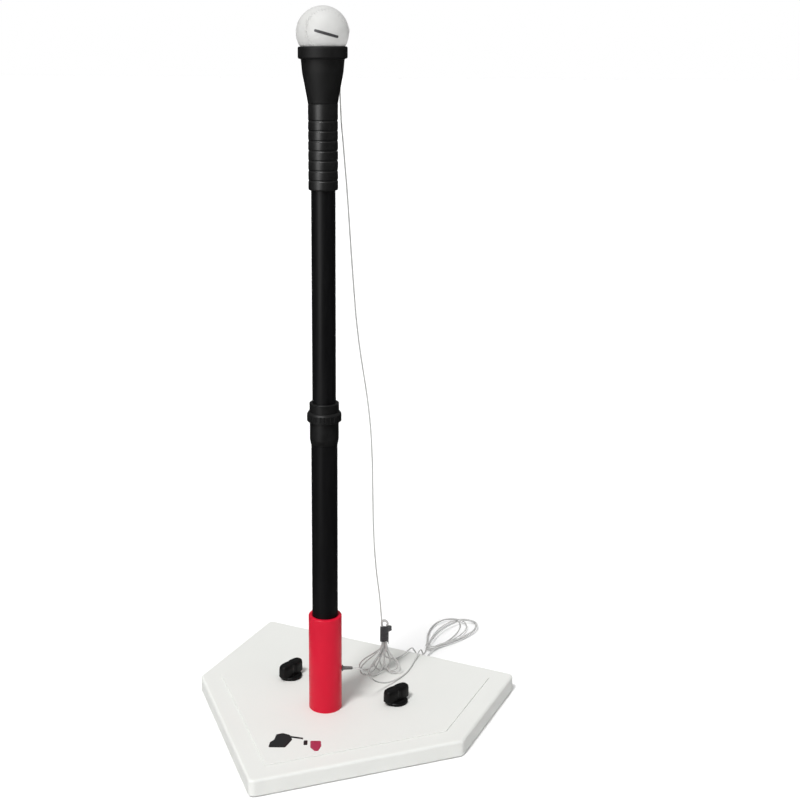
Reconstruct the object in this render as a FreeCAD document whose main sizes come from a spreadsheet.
import FreeCAD, Part
import math
import os
import Sketcher

# A batting tee: a weighted home plate, a two-part telescopic post with a twist lock,
# a ribbed rubber neck and cup, and a ball on a tether.
# Frame: millimetres, +Z up, origin on the floor under the post.
# The plate's straight front edge faces +Y and its point faces -Y.

SIZES = {
    # home plate
    "foot_height": 2.0,
    "plate_width": 432.0,
    "plate_side": 220.0,
    "plate_point": 224.0,
    "plate_front": 220.0,
    "plate_top": 25.0,
    "plate_wall": 3.0,
    "corner_radius": 9.0,
    "edge_radius": 4.0,
    "panel_inset": 30.0,
    "panel_raise": 1.5,
    "cover_thick": 3.0,
    "part_gap": 0.1,
    # bosses and fasteners
    "screw_inset": 20.0,
    "screw_radius": 1.9,
    "screw_head_radius": 3.8,
    "screw_head_height": 2.0,
    "screw_length": 13.0,
    "boss_radius": 5.5,
    "foot_inset": 48.0,
    "foot_radius": 10.0,
    "foot_thick": 3.0,
    # ballast filler caps
    "cap_spread": 88.5,
    "cap_forward": 57.0,
    "cap_flange_radius": 17.0,
    "cap_flange": 4.5,
    "cap_height": 24.0,
    "cap_grip_length": 44.0,
    "cap_grip_width": 18.0,
    "cap_grip_corner": 5.0,
    "cap_edge_radius": 2.0,
    "cap_turn_left": 76.0,
    "cap_turn_right": 68.0,
    "cap_stem_radius": 12.0,
    "cap_stem_length": 12.0,
    "cap_neck_wall": 4.0,
    "seal_thick": 2.0,
    # socket
    "socket_radius": 24.0,
    "socket_top": 171.5,
    "socket_flange_radius": 42.0,
    "socket_flange_base": 8.0,
    "socket_flange_thick": 4.0,
    "socket_screw_circle": 34.0,
    "anchor_height": 86.4,
    "anchor_angle": 27.0,
    "anchor_reach": 40.0,
    "anchor_radius": 3.0,
    # lower tube
    "lower_radius": 18.5,
    "lower_wall": 1.2,
    "lower_base": 14.0,
    "lower_top": 461.0,
    # twist lock
    "sleeve_base": 430.0,
    "sleeve_taper": 7.0,
    "sleeve_radius": 20.3,
    "sleeve_shoulder": 462.8,
    "sleeve_thread_radius": 18.6,
    "sleeve_top": 480.0,
    "slot_width": 2.2,
    "slot_depth": 14.0,
    "nut_base": 463.0,
    "nut_radius": 24.1,
    "nut_shoulder": 476.5,
    "nut_lip_radius": 20.7,
    "nut_top": 489.5,
    "nut_roof": 5.0,
    "nut_flute_radius": 1.5,
    # upper tube
    "upper_radius": 16.5,
    "upper_wall": 1.4,
    "upper_base": 335.0,
    "upper_top": 858.0,
    "stop_ring_base": 412.0,
    "stop_ring_height": 4.0,
    # rubber neck and cup
    "neck_base": 786.0,
    "neck_top": 900.0,
    "neck_radius": 20.0,
    "neck_bore": 12.0,
    "groove_first": 799.0,
    "groove_pitch": 13.2,
    "groove_width": 3.4,
    "groove_depth": 1.2,
    "spigot_radius": 14.0,
    "spigot_length": 24.0,
    "cup_rim_height": 974.5,
    "cup_rim_radius": 33.0,
    "cup_cone_radius": 29.2,
    "cup_shoulder": 941.0,
    "cup_shoulder_radius": 27.4,
    "cup_mouth_radius": 30.5,
    "cup_lip_height": 15.3,
    "cup_wall": 3.6,
    "cup_floor": 922.0,
    "cup_floor_radius": 15.0,
    # ball
    "ball_radius": 35.0,
    "ball_centre": 992.4,
    "ball_skin": 3.0,
    "grommet_radius": 3.0,
    # tether
    "cord_radius": 1.0,
    "cord_gap": 0.4,
    "tie_base": 75.3,
    "tie_top": 107.7,
    "coil_base": 0.2,
    "coil_height": 8.8,
    "coil_half_length": 73.0,
    "coil_half_width": 38.0,
    "coil_angle": 84.0,
}
GROOVES = 7
NUT_FLUTES = 24
SOCKET_SCREWS = 4
SLOTS = 4

# The tether's routes: from the ball down to its hank, from the hank over the plate's
# straight edge to the loose coil on the floor, and from the socket's anchor to that coil.
DROP_ROUTE = [
    (0.0, 43.4, 992.4),
    (0.1, 48.8, 992.3),
    (0.3, 54.0, 987.5),
    (0.5, 55.0, 977.0),
    (0.2, 51.5, 957.0),
    (0.6, 48.8, 920.0),
    (2.6, 50.4, 872.0),
    (5.6, 55.0, 818.0),
    (7.6, 60.8, 762.0),
    (8.8, 66.8, 703.0),
    (10.2, 73.2, 645.0),
    (12.0, 79.4, 588.0),
    (16.6, 86.4, 532.0),
    (22.8, 93.2, 479.0),
    (26.4, 99.4, 424.0),
    (26.6, 104.4, 368.0),
    (25.2, 109.4, 311.0),
    (24.2, 114.6, 255.0),
    (25.8, 120.2, 200.0),
    (30.4, 125.8, 150.0),
    (35.0, 129.6, 114.0),
]
LINK_ROUTE = [
    (30.4, 137.6, 57.0),
    (28.6, 144.6, 50.0),
    (29.6, 154.4, 40.6),
    (32.8, 166.4, 33.0),
    (36.6, 181.0, 28.8),
    (39.6, 196.0, 28.6),
    (42.2, 209.0, 30.8),
    (43.4, 222.4, 31.0),
    (44.4, 231.8, 21.0),
    (45.2, 239.6, 8.6),
    (46.0, 250.0, 2.6),
    (46.4, 262.6, 1.5),
    (46.2, 274.6, 1.6),
]
TAIL_ROUTE = [
    (35.6, 18.2, 86.4),
    (42.2, 21.6, 86.0),
    (47.6, 26.6, 81.6),
    (50.2, 35.2, 72.6),
    (50.6, 46.4, 61.4),
    (51.4, 59.6, 50.4),
    (53.6, 74.6, 40.6),
    (57.4, 91.0, 33.4),
    (62.2, 108.6, 29.6),
    (66.0, 127.4, 28.4),
    (67.6, 147.0, 28.2),
    (66.2, 166.6, 28.6),
    (63.4, 184.6, 28.2),
    (61.0, 199.0, 28.8),
    (59.8, 211.0, 31.0),
    (58.6, 223.0, 30.8),
    (57.6, 232.4, 21.0),
    (56.8, 240.0, 8.6),
    (55.8, 250.4, 2.5),
    (55.0, 262.6, 1.5),
    (54.2, 274.6, 1.7),
]
# Lean, half width, half depth and height of the hank's outline: small folds above the tie,
# a neck through it, and loops that fan out down to the plate.
HANK_PLACE = (35.8, 130.3)
HANK_OUTLINE = [
    (0.0, 5.0, 3.6, 114.2),
    (0.0, 7.5, 5.2, 112.5),
    (0.0, 8.0, 5.4, 110.5),
    (0.0, 5.8, 4.6, 108.0),
    (0.0, 5.8, 4.6, 75.0),
    (-1.5, 14.0, 8.0, 60.0),
    (-4.0, 23.0, 13.0, 50.0),
    (-7.0, 32.0, 17.0, 37.0),
    (-7.0, 31.0, 17.0, 27.2),
]
TIE_HALF = (7.0, 5.8)
COIL_PLACE = (57.0, 347.0)

doc = FreeCAD.newDocument("BattingTee")
sheet = doc.addObject("Spreadsheet::Sheet", "Sizes")


class Size:
    """A length that carries its value and the sheet expression that gives it."""

    def __init__(self, value, text):
        self.value = value
        self.text = text

    def join(self, other, sign, value):
        return Size(value, f"({self.text} {sign} {text_of(other)})")

    def __add__(self, other):
        return self.join(other, "+", self.value + value_of(other))

    def __sub__(self, other):
        return self.join(other, "-", self.value - value_of(other))

    def __mul__(self, other):
        return self.join(other, "*", self.value * value_of(other))

    def __truediv__(self, other):
        return self.join(other, "/", self.value / value_of(other))

    def __pow__(self, other):
        return self.join(other, "^", self.value ** value_of(other))

    def __neg__(self):
        return Size(-self.value, f"(-{self.text})")


def value_of(size):
    return size.value if isinstance(size, Size) else size


def text_of(size):
    return size.text if isinstance(size, Size) else str(size)


def fill_sheet():
    for row, (name, value) in enumerate(SIZES.items(), start=1):
        sheet.set(f"A{row}", name)
        sheet.set(f"B{row}", str(value))
        sheet.setAlias(f"B{row}", name)
    doc.recompute()
    return {name: Size(value, f"Sizes.{name}") for name, value in SIZES.items()}


d = fill_sheet()
ZERO = Size(0.0, "0")


# ---- sketches and features ----

def new_body(label):
    body = doc.addObject("PartDesign::Body", label)
    body.Label = label
    return body


def new_sketch(body, name, plane="XY_Plane", height=None):
    """A sketch on one of the body's origin planes, raised along its normal to a height."""
    sketch = body.newObject("Sketcher::SketchObject", name)
    face = [f for f in body.Origin.OriginFeatures if f.Role == plane][0]
    sketch.AttachmentSupport = [(face, "")]
    sketch.MapMode = "FlatFace"
    if height is not None:
        sketch.setExpression("AttachmentOffset.Base.z", text_of(height))
    return sketch


def hold(sketch, index, corner, x, y):
    """Pins one point of a sketch at (x, y), each bound to the sheet."""
    for kind, axis, size in (("DistanceX", -2, x), ("DistanceY", -1, y)):
        if abs(value_of(size)) < 1e-9:
            sketch.addConstraint(Sketcher.Constraint("PointOnObject", index, corner, axis))
            continue
        number = sketch.addConstraint(
            Sketcher.Constraint(kind, -1, 1, index, corner, value_of(size))
        )
        sketch.setExpression(f"Constraints[{number}]", text_of(size))


def add_outline(sketch, points):
    """A closed outline of straight lines through points bound to the sheet."""
    places = [FreeCAD.Vector(value_of(x), value_of(y), 0) for x, y in points]
    first = sketch.GeometryCount
    count = len(points)
    for i, place in enumerate(places):
        sketch.addGeometry(Part.LineSegment(place, places[(i + 1) % count]), False)
    for i, (x, y) in enumerate(points):
        before = first + (i - 1) % count
        sketch.addConstraint(Sketcher.Constraint("Coincident", before, 2, first + i, 1))
        hold(sketch, first + i, 1, x, y)


def add_circle(sketch, x, y, radius):
    centre = FreeCAD.Vector(value_of(x), value_of(y), 0)
    circle = Part.Circle(centre, FreeCAD.Vector(0, 0, 1), value_of(radius))
    index = sketch.addGeometry(circle, False)
    number = sketch.addConstraint(Sketcher.Constraint("Radius", index, value_of(radius)))
    sketch.setExpression(f"Constraints[{number}]", text_of(radius))
    hold(sketch, index, 3, x, y)


def pad(body, sketch, length):
    feature = body.newObject("PartDesign::Pad", sketch.Name + "_pad")
    feature.Profile = sketch
    feature.setExpression("Length", text_of(length))
    doc.recompute()
    return feature


def pocket(body, sketch, length):
    """Cuts a sketch upwards, and makes sure that it took material away."""
    before = body.Shape.Volume
    feature = body.newObject("PartDesign::Pocket", sketch.Name + "_cut")
    feature.Profile = sketch
    feature.Reversed = True
    feature.setExpression("Length", text_of(length))
    doc.recompute()
    if not body.Shape.Volume < before:
        raise RuntimeError(f"{feature.Name} cuts nothing")
    return feature


def round_edges(body, name, radius, wanted):
    """Fillets the edges of the body for which wanted(edge) is true."""
    base = body.Tip
    names = [f"Edge{i}" for i, e in enumerate(base.Shape.Edges, start=1) if wanted(e)]
    feature = body.newObject("PartDesign::Fillet", name)
    feature.Base = (base, names)
    feature.setExpression("Radius", text_of(radius))
    doc.recompute()
    return feature


def turned(label, profile):
    """A body turned about Z from a closed outline of (radius, height) points."""
    body = new_body(label)
    sketch = new_sketch(body, label + "_profile", "XZ_Plane")
    add_outline(sketch, profile)
    turn = body.newObject("PartDesign::Revolution", label + "_turn")
    turn.Profile = sketch
    turn.ReferenceAxis = (sketch, ["V_Axis"])
    turn.Angle = 360
    doc.recompute()
    return body


def cut_round(body, sketch, length, count):
    """Cuts a sketch upwards and repeats it round Z."""
    cut = pocket(body, sketch, length)
    pattern = body.newObject("PartDesign::PolarPattern", sketch.Name + "_round")
    pattern.Originals = [cut]
    pattern.Axis = (sketch, ["N_Axis"])
    pattern.Angle = 360
    pattern.Occurrences = count
    body.Tip = pattern
    doc.recompute()
    return pattern


def place(body, x, y, height=ZERO):
    for axis, size in (("x", x), ("y", y), ("z", height)):
        body.setExpression(f"Placement.Base.{axis}", text_of(size))


def is_upright(edge):
    ends = [v.Point for v in edge.Vertexes]
    if len(ends) != 2:
        return False
    run = ends[1] - ends[0]
    return abs(run.z) > 0.5 and math.hypot(run.x, run.y) < 1e-6


def is_level(edge, height):
    return all(abs(v.Z - height) < 1e-6 for v in edge.Vertexes)


# ---- home plate ----

def pentagon(inset):
    """The home plate's five corners, moved in from its edges by inset."""
    half = d["plate_width"] / 2
    slope = d["plate_point"] / half
    slant = (slope ** 2 + 1) ** 0.5
    shoulder = d["plate_front"] - d["plate_side"]
    side_end = shoulder + (slant - slope) * inset
    point_end = shoulder - d["plate_point"] + slant * inset
    front = d["plate_front"] - inset
    across = half - inset
    return [
        (-across, front),
        (across, front),
        (across, side_end),
        (ZERO, point_end),
        (-across, side_end),
    ]


def halfway(a, b):
    return tuple((p + q) / 2 for p, q in zip(a, b))


def screw_places():
    corners = pentagon(d["screw_inset"])
    between = [halfway(a, b) for a, b in zip(corners, corners[1:] + corners[:1])]
    return corners + between


def foot_places():
    return pentagon(d["foot_inset"])


def cap_places():
    return [(-d["cap_spread"], d["cap_forward"]), (d["cap_spread"], d["cap_forward"])]


def round_places(circle, count, turn=45.0):
    angles = [math.radians(turn + 360.0 * i / count) for i in range(count)]
    return [(circle * round(math.cos(a), 9), circle * round(math.sin(a), 9)) for a in angles]


def make_plate_shell():
    """The moulded top: five-sided, hollow below, with a raised panel and bosses inside."""
    base, top = d["foot_height"], d["plate_top"]
    under = top - d["plate_wall"]
    body = new_body("plate_shell")
    outline = new_sketch(body, "shell_outline", height=base)
    add_outline(outline, pentagon(0))
    pad(body, outline, top - base)
    round_edges(body, "shell_corners", d["corner_radius"], is_upright)
    round_edges(body, "shell_top_edge", d["edge_radius"], lambda e: is_level(e, top.value))

    panel = new_sketch(body, "shell_panel", height=top)
    add_outline(panel, pentagon(d["panel_inset"]))
    pad(body, panel, d["panel_raise"])
    surface = (top + d["panel_raise"]).value
    round_edges(body, "shell_panel_edge", d["panel_raise"] * 0.6, lambda e: is_level(e, surface))

    cavity = new_sketch(body, "shell_cavity", height=base)
    add_outline(cavity, pentagon(d["plate_wall"]))
    pocket(body, cavity, under - base)

    floor = base + d["cover_thick"]
    bosses = new_sketch(body, "shell_bosses", height=floor)
    for x, y in screw_places():
        add_circle(bosses, x, y, d["boss_radius"])
    pad(body, bosses, top - floor - d["plate_wall"] / 2)

    necks = new_sketch(body, "shell_necks", height=floor + d["cover_thick"])
    for x, y in cap_places():
        add_circle(necks, x, y, d["cap_stem_radius"] + d["cap_neck_wall"])
    pad(body, necks, top - floor - d["cover_thick"] - d["plate_wall"] / 2)

    hub_base = d["socket_flange_base"] + d["socket_flange_thick"]
    hub = new_sketch(body, "shell_hub", height=hub_base)
    add_circle(hub, ZERO, ZERO, d["socket_flange_radius"])
    pad(body, hub, top - hub_base - d["plate_wall"] / 2)

    holes = new_sketch(body, "shell_holes", height=base)
    add_circle(holes, ZERO, ZERO, d["socket_radius"] + d["part_gap"])
    for x, y in cap_places():
        add_circle(holes, x, y, d["cap_stem_radius"] + d["part_gap"] / 2)
    pocket(body, holes, top)

    pilots = new_sketch(body, "shell_pilots", height=base)
    for x, y in screw_places():
        add_circle(pilots, x, y, d["screw_radius"] + d["part_gap"] / 2)
    pocket(body, pilots, d["screw_length"] + d["screw_head_height"] + 1)

    hub_pilots = new_sketch(body, "shell_hub_pilots", height=base)
    for x, y in round_places(d["socket_screw_circle"], SOCKET_SCREWS):
        add_circle(hub_pilots, x, y, d["screw_radius"] + d["part_gap"] / 2)
    pocket(body, hub_pilots, top - base - d["plate_wall"])
    return body


def make_plate_bottom():
    """The flat closing panel, with screw counterbores and recesses for the feet."""
    base = d["foot_height"]
    body = new_body("plate_bottom")
    outline = new_sketch(body, "bottom_outline", height=base)
    add_outline(outline, pentagon(d["plate_wall"] + d["part_gap"]))
    pad(body, outline, d["cover_thick"])

    holes = new_sketch(body, "bottom_holes", height=base)
    for x, y in screw_places():
        add_circle(holes, x, y, d["screw_radius"] + d["part_gap"])
    pocket(body, holes, d["cover_thick"])

    recesses = new_sketch(body, "bottom_recesses", height=base)
    for x, y in screw_places():
        add_circle(recesses, x, y, d["screw_head_radius"] + d["part_gap"])
    pocket(body, recesses, d["screw_head_height"])

    seats = new_sketch(body, "bottom_seats", height=base)
    for x, y in foot_places():
        add_circle(seats, x, y, d["foot_radius"] + d["part_gap"])
    pocket(body, seats, d["foot_thick"] - d["foot_height"])
    return body


def cylinder(name, radius, height, x, y, base):
    part = doc.addObject("Part::Cylinder", name)
    part.setExpression("Radius", text_of(radius))
    part.setExpression("Height", text_of(height))
    place(part, x, y, base)
    return part


def make_screws(label, places, head_base):
    """Identical screws, head down, as separate solids in one group."""
    screws = []
    for i, (x, y) in enumerate(places, start=1):
        head = cylinder(
            f"{label}_head_{i}", d["screw_head_radius"], d["screw_head_height"], x, y, head_base
        )
        shank_base = head_base + d["screw_head_height"] / 2
        shank = cylinder(
            f"{label}_shank_{i}", d["screw_radius"], d["screw_length"], x, y, shank_base
        )
        screw = doc.addObject("Part::Fuse", f"{label}_{i}")
        screw.Base = head
        screw.Tool = shank
        screws.append(screw)
    group = doc.addObject("Part::Compound", label)
    group.Label = label
    group.Links = screws
    return group


def make_feet():
    feet = [
        cylinder(f"foot_{i}", d["foot_radius"], d["foot_thick"], x, y, ZERO)
        for i, (x, y) in enumerate(foot_places(), start=1)
    ]
    group = doc.addObject("Part::Compound", "rubber_feet")
    group.Label = "rubber_feet"
    group.Links = feet
    return group


def make_filler_cap(side, spot):
    """A screw plug for the filler neck: a stem, a round flange and an upright bar to turn it by."""
    surface = d["plate_top"] + d["panel_raise"]
    rim = d["cap_flange_radius"]
    flange = surface + d["cap_flange"]
    lift = d["part_gap"] * 2
    stem_end = surface - d["cap_stem_length"]
    seal_ring = d["cap_stem_radius"] + d["cap_neck_wall"]
    profile = [
        (ZERO, stem_end),
        (d["cap_stem_radius"], stem_end),
        (d["cap_stem_radius"], surface + d["seal_thick"]),
        (seal_ring, surface + d["seal_thick"]),
        (seal_ring, surface + lift),
        (rim - 0.4, surface + lift),
        (rim, surface + 0.8),
        (rim, flange - 1.2),
        (rim - 1.2, flange),
        (ZERO, flange),
    ]
    body = turned(f"filler_cap_{side}", profile)
    grip = new_sketch(body, f"cap_{side}_grip", height=flange - 0.5)
    reach, half = d["cap_grip_length"] / 2, d["cap_grip_width"] / 2
    inner, low = reach - d["cap_grip_corner"], half - d["cap_grip_corner"]
    corners = [(reach, low), (inner, half), (-inner, half), (-reach, low)]
    add_outline(grip, corners + [(x, -y) for x, y in reversed(corners)])
    pad(body, grip, d["cap_height"] - d["cap_flange"] + 0.5)
    top = value_of(surface + d["cap_height"])
    round_edges(body, f"cap_{side}_edges", d["cap_edge_radius"], lambda e: is_level(e, top))
    turn = FreeCAD.Rotation(FreeCAD.Vector(0, 0, 1), SIZES[f"cap_turn_{side}"])
    body.Placement = FreeCAD.Placement(FreeCAD.Vector(0, 0, 0), turn)
    place(body, *spot)
    return body


def make_cap_seal(side, spot):
    surface = d["plate_top"] + d["panel_raise"]
    inner = d["cap_stem_radius"] + d["part_gap"]
    outer = d["cap_stem_radius"] + d["cap_neck_wall"] - d["part_gap"]
    low, high = surface + d["part_gap"], surface + d["seal_thick"]
    profile = [(inner, low), (outer, low), (outer, high), (inner, high)]
    body = turned(f"cap_seal_{side}", profile)
    place(body, *spot)
    return body


# ---- socket and tether anchor ----

def make_socket_tube():
    """The red upright socket, closed at its foot, with a screwed flange under the plate."""
    outer, bore = d["socket_radius"], d["lower_radius"] + d["part_gap"]
    base = d["socket_flange_base"]
    floor = base + d["socket_flange_thick"]
    rim = d["socket_flange_radius"]
    top = d["socket_top"]
    profile = [
        (ZERO, base),
        (rim, base),
        (rim, floor),
        (outer, floor),
        (outer, top - 1.6),
        (outer - 0.5, top - 0.5),
        (outer - 1.6, top),
        (bore + 1.0, top),
        (bore, top - 1.0),
        (bore, floor),
        (ZERO, floor),
    ]
    body = turned("socket_tube", profile)
    holes = new_sketch(body, "socket_screw_holes", height=base)
    for x, y in round_places(d["socket_screw_circle"], SOCKET_SCREWS):
        add_circle(holes, x, y, d["screw_radius"] + d["part_gap"])
    pocket(body, holes, d["socket_flange_thick"])
    return body


def make_socket():
    """The socket with the hole through its wall that the tether anchor sits in."""
    tube = make_socket_tube()
    tube.Label = "socket_tube_blank"
    drill = cylinder("anchor_hole", d["anchor_radius"] + 0.05, d["socket_radius"], ZERO, ZERO, ZERO)
    aim_anchor(drill, d["lower_radius"] * 0.5)
    cut = doc.addObject("Part::Cut", "socket_tube_cut")
    cut.Base = tube
    cut.Tool = drill
    cut.Label = "socket_tube"
    return cut


def aim_anchor(part, start):
    """Lays a part that was made along Z along the anchor's level direction."""
    angle = math.radians(SIZES["anchor_angle"])
    along = FreeCAD.Vector(math.cos(angle), math.sin(angle), 0)
    turn = FreeCAD.Rotation(FreeCAD.Vector(0, 0, 1), along)
    part.Placement = FreeCAD.Placement(FreeCAD.Vector(0, 0, 0), turn)
    place(part, start * round(along.x, 9), start * round(along.y, 9), d["anchor_height"])


def make_tether_anchor():
    """A moulded peg through the socket's wall, tapering to where the cord leaves it."""
    wall_in = d["lower_radius"] + d["part_gap"] * 3
    wall_out = d["socket_radius"] + 0.3
    shank = d["anchor_radius"]
    profile = [
        (ZERO, wall_in),
        (shank, wall_in),
        (shank, wall_out),
        (shank + 1.6, wall_out),
        (shank + 1.6, wall_out + 1.4),
        (shank - 0.2, wall_out + 2.2),
        (shank - 0.8, d["anchor_reach"] - 1.0),
        (shank - 1.4, d["anchor_reach"]),
        (ZERO, d["anchor_reach"]),
    ]
    body = turned("tether_anchor", profile)
    aim_anchor(body, ZERO)
    return body


# ---- post ----

def make_lower_tube():
    outer, inner = d["lower_radius"], d["lower_radius"] - d["lower_wall"]
    low, high = d["lower_base"], d["lower_top"]
    return turned("lower_tube", [(inner, low), (outer, low), (outer, high), (inner, high)])


def make_tube_foot_plug():
    """The plug in the lower tube's foot, standing on the socket's floor."""
    floor = d["socket_flange_base"] + d["socket_flange_thick"]
    spigot = d["lower_radius"] - d["lower_wall"] - d["part_gap"] / 2
    profile = [
        (ZERO, floor),
        (d["lower_radius"], floor),
        (d["lower_radius"], d["lower_base"]),
        (spigot, d["lower_base"]),
        (spigot, d["lower_base"] + 10),
        (spigot - 1, d["lower_base"] + 11),
        (ZERO, d["lower_base"] + 11),
    ]
    return turned("tube_foot_plug", profile)


def make_lock_sleeve():
    """The sleeve bonded over the lower tube's top, with slotted gripping fingers above."""
    tube = d["lower_radius"] + d["part_gap"] / 2
    throat = d["upper_radius"] + d["part_gap"]
    base, outer = d["sleeve_base"], d["sleeve_radius"]
    shoulder, thread, top = d["sleeve_shoulder"], d["sleeve_thread_radius"], d["sleeve_top"]
    profile = [
        (tube, base),
        (tube + 0.5, base),
        (outer, base + d["sleeve_taper"]),
        (outer, shoulder),
        (thread, shoulder),
        (thread, top - 3),
        (thread - 0.9, top),
        (throat, top),
        (throat, d["lower_top"] + 1),
        (tube, d["lower_top"] + 1),
    ]
    body = turned("lock_sleeve", profile)
    slot = new_sketch(body, "sleeve_slot", height=top - d["slot_depth"])
    half = d["slot_width"] / 2
    reach = d["sleeve_radius"]
    near = d["upper_radius"] - 2
    add_outline(slot, [(near, -half), (reach, -half), (reach, half), (near, half)])
    cut_round(body, slot, d["slot_depth"], SLOTS)
    return body


def make_grip_ring():
    """The split ring that the nut squeezes on to the upper tube."""
    inner, outer = d["upper_radius"] + d["part_gap"], d["sleeve_thread_radius"] - 0.6
    low = d["sleeve_top"] + d["part_gap"]
    high = d["nut_top"] - d["nut_roof"] - d["part_gap"] * 2
    body = turned("grip_ring", [(inner, low), (outer, low), (outer - 0.7, high), (inner, high)])
    split = new_sketch(body, "grip_split", height=low)
    half = d["slot_width"] / 2
    reach = d["sleeve_radius"]
    near = d["upper_radius"] - 2
    add_outline(split, [(near, -half), (reach, -half), (reach, half), (near, half)])
    pocket(body, split, d["sleeve_top"] - d["nut_base"])
    return body


def make_lock_nut():
    """The turning collar of the twist lock, fluted round its grip, with a plain lip above."""
    base, shoulder, top = d["nut_base"], d["nut_shoulder"], d["nut_top"]
    thread = d["sleeve_thread_radius"] + d["part_gap"]
    throat = d["upper_radius"] + d["part_gap"] * 2
    outer, lip = d["nut_radius"], d["nut_lip_radius"]
    cavity = top - d["nut_roof"]
    profile = [
        (thread, base),
        (outer - 0.8, base),
        (outer, base + 0.8),
        (outer, shoulder - 3.2),
        (outer - 1.4, shoulder - 0.8),
        (outer - 2.6, shoulder),
        (lip, shoulder),
        (lip, top - 0.8),
        (lip - 0.8, top),
        (throat, top),
        (throat, cavity),
        (thread, cavity),
    ]
    body = turned("lock_nut", profile)
    flute = new_sketch(body, "nut_flute", height=base + 2.5)
    add_circle(flute, outer + d["nut_flute_radius"] * 0.5, ZERO, d["nut_flute_radius"])
    cut_round(body, flute, shoulder - base - 5.5, NUT_FLUTES)
    return body


def make_upper_tube():
    outer, inner = d["upper_radius"], d["upper_radius"] - d["upper_wall"]
    low, high = d["upper_base"], d["upper_top"]
    return turned("upper_tube", [(inner, low), (outer, low), (outer, high), (inner, high)])


def make_guide_bush():
    """The plastic bush in the upper tube's foot, which runs in the lower tube's bore."""
    guide = d["lower_radius"] - d["lower_wall"] - d["part_gap"] * 0.8
    spigot = d["upper_radius"] - d["upper_wall"] - d["part_gap"] / 2
    low, seat = d["upper_base"] - 12, d["upper_base"]
    profile = [
        (ZERO, low),
        (guide - 1, low),
        (guide, low + 1),
        (guide, seat),
        (spigot, seat),
        (spigot, seat + 18),
        (ZERO, seat + 18),
    ]
    return turned("guide_bush", profile)


def make_stop_ring():
    """The ring on the upper tube that meets the sleeve and ends the upward travel."""
    inner = d["upper_radius"] + d["part_gap"] / 2
    outer = d["lower_radius"] - d["lower_wall"] - d["part_gap"] * 0.8
    low, high = d["stop_ring_base"], d["stop_ring_base"] + d["stop_ring_height"]
    return turned("stop_ring", [(inner, low), (outer, low), (outer, high), (inner, high)])


# ---- rubber top ----

def make_neck():
    """The ribbed rubber neck, pushed over the upper tube and open at its top for the cup."""
    outer, grip = d["neck_radius"], d["upper_radius"] + d["part_gap"] / 2
    base, top = d["neck_base"], d["neck_top"]
    seat, land = d["spigot_radius"] + d["part_gap"] / 2, d["upper_top"] + 0.5
    profile = [(grip, base), (outer - 1.0, base), (outer, base + 1.0)]
    for i in range(GROOVES):
        middle = d["groove_first"] + d["groove_pitch"] * i
        half = d["groove_width"] / 2
        deep = outer - d["groove_depth"]
        profile += [
            (outer, middle - half),
            (deep, middle - half + 0.9),
            (deep, middle + half - 0.9),
            (outer, middle + half),
        ]
    spigot_foot = top - d["spigot_length"] - 0.5
    profile += [
        (outer, top),
        (seat, top),
        (seat, spigot_foot),
        (d["neck_bore"], spigot_foot),
        (d["neck_bore"], land),
        (grip, land),
    ]
    return turned("ribbed_neck", profile)


def make_cup():
    """The rubber cone that the ball sits on, hollow, with a spigot into the neck."""
    rim, foot, base = d["cup_rim_height"], d["neck_radius"], d["neck_top"] + d["part_gap"]
    lip, cone = d["cup_rim_radius"], d["cup_cone_radius"]
    mouth, floor = d["cup_mouth_radius"], d["cup_floor"]
    spigot, spigot_end = d["spigot_radius"], d["neck_top"] - d["spigot_length"]
    drain = d["spigot_radius"] - 9
    profile = [
        (drain, spigot_end),
        (spigot - 1, spigot_end),
        (spigot, spigot_end + 1),
        (spigot, base),
        (foot, base),
        (foot + 0.3, base + 3),
        (d["cup_shoulder_radius"], d["cup_shoulder"]),
        (cone, rim - d["cup_lip_height"] - 1.0),
        (lip - 0.8, rim - d["cup_lip_height"]),
        (lip, rim - d["cup_lip_height"] + 1.0),
        (lip, rim - 1.6),
        (lip - 1.4, rim),
        (mouth + 0.6, rim),
        (mouth, rim - 1.0),
        (cone - d["cup_wall"], rim - d["cup_lip_height"] - 1.0),
        (d["cup_floor_radius"], floor),
        (drain, floor - 2),
    ]
    return turned("ball_cup", profile)


# ---- ball ----

def sphere(name, radius):
    ball = doc.addObject("Part::Sphere", name)
    ball.setExpression("Radius", text_of(radius))
    place(ball, ZERO, ZERO, d["ball_centre"])
    return ball


def grommet_hole(name, extra):
    """A level cylinder from inside the ball out through its skin towards +Y."""
    part = doc.addObject("Part::Cylinder", name)
    part.setExpression("Radius", text_of(d["grommet_radius"] + extra))
    part.setExpression("Height", text_of(d["ball_skin"] * 4))
    turn = FreeCAD.Rotation(FreeCAD.Vector(1, 0, 0), -90)
    part.Placement = FreeCAD.Placement(FreeCAD.Vector(0, 0, 0), turn)
    place(part, ZERO, d["ball_radius"] - d["ball_skin"] * 3, d["ball_centre"])
    return part


def cut_part(label, base, tool):
    cut = doc.addObject("Part::Cut", label)
    cut.Label = label
    cut.Base = base
    cut.Tool = tool
    return cut


def make_ball():
    """A moulded skin over a foam core, pierced where the tether comes out."""
    inner = d["ball_radius"] - d["ball_skin"]
    hollow = cut_part("ball_hollow", sphere("ball_outside", d["ball_radius"]),
                      sphere("ball_inside", inner))
    skin = cut_part("ball_skin", hollow, grommet_hole("skin_hole", 0.05))
    core = cut_part("ball_core", sphere("core_outside", inner - 0.05),
                    grommet_hole("core_hole", 0.05))
    return [skin, core]


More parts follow.
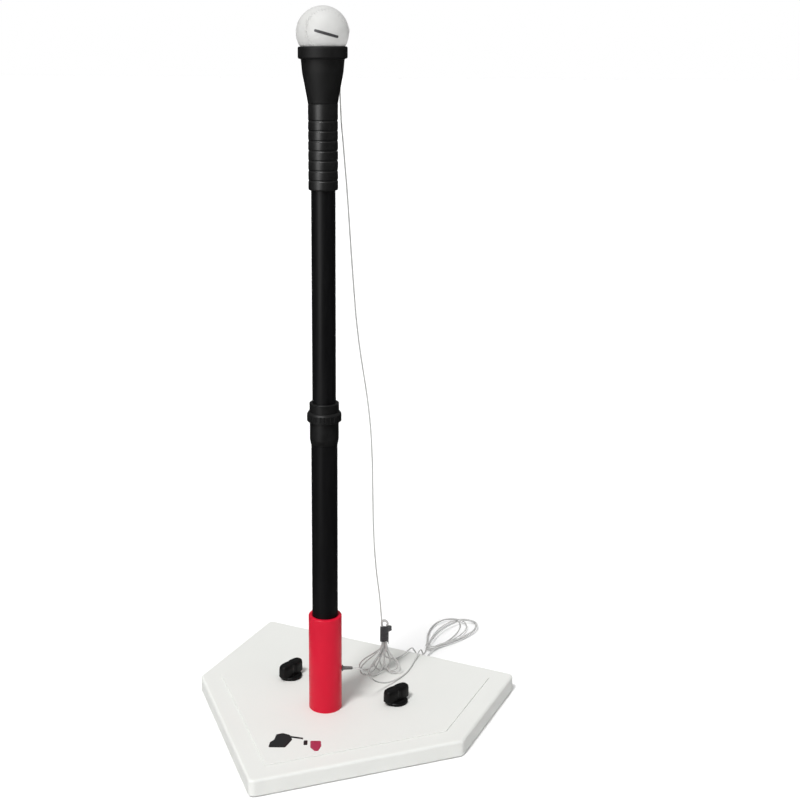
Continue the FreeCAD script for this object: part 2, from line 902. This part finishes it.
def make_grommet():
    """The bush that lines the hole where the tether leaves the ball."""
    reach = d["ball_radius"]
    shank = d["grommet_radius"]
    profile = [
        (ZERO, reach - d["ball_skin"] * 2.5),
        (shank, reach - d["ball_skin"] * 2.5),
        (shank, reach + 0.1),
        (shank - 0.8, reach + 0.8),
        (ZERO, reach + 0.8),
    ]
    body = turned("cord_grommet", profile)
    turn = FreeCAD.Rotation(FreeCAD.Vector(1, 0, 0), -90)
    body.Placement = FreeCAD.Placement(FreeCAD.Vector(0, 0, 0), turn)
    place(body, ZERO, ZERO, d["ball_centre"])
    return body


# ---- tether ----

def rounded_route(points):
    """Straight runs joined by tangent arcs, each as large as its two runs allow."""
    spots = [FreeCAD.Vector(*p) for p in points]
    edges, radii, at = [], [], spots[0]
    for before, corner, after in zip(spots, spots[1:], spots[2:]):
        back, ahead = before - corner, after - corner
        turn = math.pi - back.getAngle(ahead)
        trim = 0.45 * min(back.Length, ahead.Length)
        radii.append(trim / math.tan(turn / 2))
        start = corner + back.normalize() * trim
        end = corner + ahead.normalize() * trim
        inward = (back + ahead).normalize()
        radius = radii[-1]
        middle = corner + inward * (math.hypot(radius, trim) - radius)
        edges.append(Part.LineSegment(at, start).toShape())
        edges.append(Part.Arc(start, middle, end).toShape())
        at = end
    edges.append(Part.LineSegment(at, spots[-1]).toShape())
    return Part.Wire(edges), radii


def make_cord(label, points):
    """A round cord along a route, checked against its section times its length."""
    path, radii = rounded_route(points)
    start = FreeCAD.Vector(*points[0])
    along = FreeCAD.Vector(*points[1]) - start
    radius = SIZES["cord_radius"]
    section = Part.Wire([Part.Circle(start, along, radius).toShape()])
    solid = path.makePipeShell([section], True, False)
    expected = math.pi * radius ** 2 * path.Length
    if abs(solid.Volume - expected) > 0.02 * expected:
        raise RuntimeError(f"{label} has {solid.Volume:.0f} mm3, not {expected:.0f} mm3")
    if min(radii) < 3 * 2 * radius:
        raise RuntimeError(f"{label} bends to {min(radii):.1f} mm")
    print(label, "length", round(path.Length), "radii", [round(r) for r in radii])
    part = doc.addObject("Part::Feature", label)
    part.Label = label
    part.Shape = solid
    return part


def make_tether_top():
    """The short stretch of cord from the ball to where the hanging stretch begins."""
    start = d["ball_radius"] + 0.8
    end = DROP_ROUTE[0][1] - SIZES["cord_gap"]
    part = doc.addObject("Part::Cylinder", "tether_top")
    part.Label = "tether_top"
    part.setExpression("Radius", text_of(d["cord_radius"]))
    part.setExpression("Height", text_of(-(start - end)))
    turn = FreeCAD.Rotation(FreeCAD.Vector(1, 0, 0), -90)
    part.Placement = FreeCAD.Placement(FreeCAD.Vector(0, 0, 0), turn)
    place(part, ZERO, start, d["ball_centre"])
    return part


def oval(place, angle, half_length, half_width, height):
    """A level oval round a place, its long way at an angle from +X."""
    along = FreeCAD.Vector(math.cos(math.radians(angle)), math.sin(math.radians(angle)), 0)
    across = FreeCAD.Vector(-along.y, along.x, 0)
    centre = FreeCAD.Vector(*place, height)
    ellipse = Part.Ellipse(centre + along * half_length, centre + across * half_width, centre)
    return Part.Wire([ellipse.toShape()])


def hank_oval(lean, half_width, half_depth, height):
    """An oval round the hank, its long way along the anchor's direction."""
    angle = SIZES["anchor_angle"]
    place = (
        HANK_PLACE[0] + lean * math.cos(math.radians(angle)),
        HANK_PLACE[1] + lean * math.sin(math.radians(angle)),
    )
    return oval(place, angle, half_width, half_depth, height)


def make_hank():
    """The outer shape of the tied loops, fanning out below the tie to the plate."""
    part = doc.addObject("Part::Feature", "tether_hank")
    part.Label = "tether_hank"
    part.Shape = Part.makeLoft([hank_oval(*row) for row in HANK_OUTLINE], True, True)
    return part


def make_hank_tie():
    """The strap wound round the hank's neck."""
    part = doc.addObject("Part::Feature", "hank_tie")
    part.Label = "hank_tie"
    low, high = SIZES["tie_base"], SIZES["tie_top"]
    neck = [size + 0.05 for size in HANK_OUTLINE[4][1:3]]
    band = Part.makeLoft([hank_oval(0, *TIE_HALF, z) for z in (low, high)], True, True)
    bore = Part.makeLoft([hank_oval(0, *neck, z) for z in (low - 1, high + 1)], True, True)
    part.Shape = band.cut(bore)
    return part


def make_coil():
    """The outer shape of the loose coil on the floor, a flat oval."""
    base, top = SIZES["coil_base"], SIZES["coil_base"] + SIZES["coil_height"]
    size = (SIZES["coil_angle"], SIZES["coil_half_length"], SIZES["coil_half_width"])
    part = doc.addObject("Part::Feature", "tether_coil")
    part.Label = "tether_coil"
    part.Shape = Part.makeLoft([oval(COIL_PLACE, *size, z) for z in (base, top)], True, True)
    return part


# ---- the whole object ----

def make_all():
    parts = [
        make_plate_shell(),
        make_plate_bottom(),
        make_screws("bottom_screws", screw_places(), d["foot_height"]),
        make_feet(),
        make_socket(),
        make_screws(
            "socket_screws",
            round_places(d["socket_screw_circle"], SOCKET_SCREWS),
            d["socket_flange_base"] - d["screw_head_height"],
        ),
        make_tether_anchor(),
        make_lower_tube(),
        make_tube_foot_plug(),
        make_lock_sleeve(),
        make_grip_ring(),
        make_lock_nut(),
        make_upper_tube(),
        make_guide_bush(),
        make_stop_ring(),
        make_neck(),
        make_cup(),
    ]
    for side, spot in zip(("left", "right"), cap_places()):
        parts.append(make_filler_cap(side, spot))
        parts.append(make_cap_seal(side, spot))
    parts += make_ball()
    parts += [
        make_grommet(),
        make_tether_top(),
        make_cord("tether_drop", DROP_ROUTE),
        make_hank(),
        make_hank_tie(),
        make_cord("tether_link", LINK_ROUTE),
        make_coil(),
        make_cord("tether_tail", TAIL_ROUTE),
    ]
    return parts


def check_and_write(parts):
    doc.recompute()
    for item in doc.Objects:
        if "Invalid" in item.State or "Error" in item.State:
            raise RuntimeError(f"{item.Label} failed: {item.State}")
    for part in parts:
        if part.Shape.isNull() or not part.Shape.isValid() or not part.Shape.Solids:
            raise RuntimeError(f"{part.Label} has no valid solid")
    os.makedirs("parts", exist_ok=True)
    for part in parts:
        part.Shape.exportStep(f"parts/{part.Label}.step")
        print(part.Label, len(part.Shape.Solids), "solids", round(part.Shape.Volume), "mm3")


check_and_write(make_all())
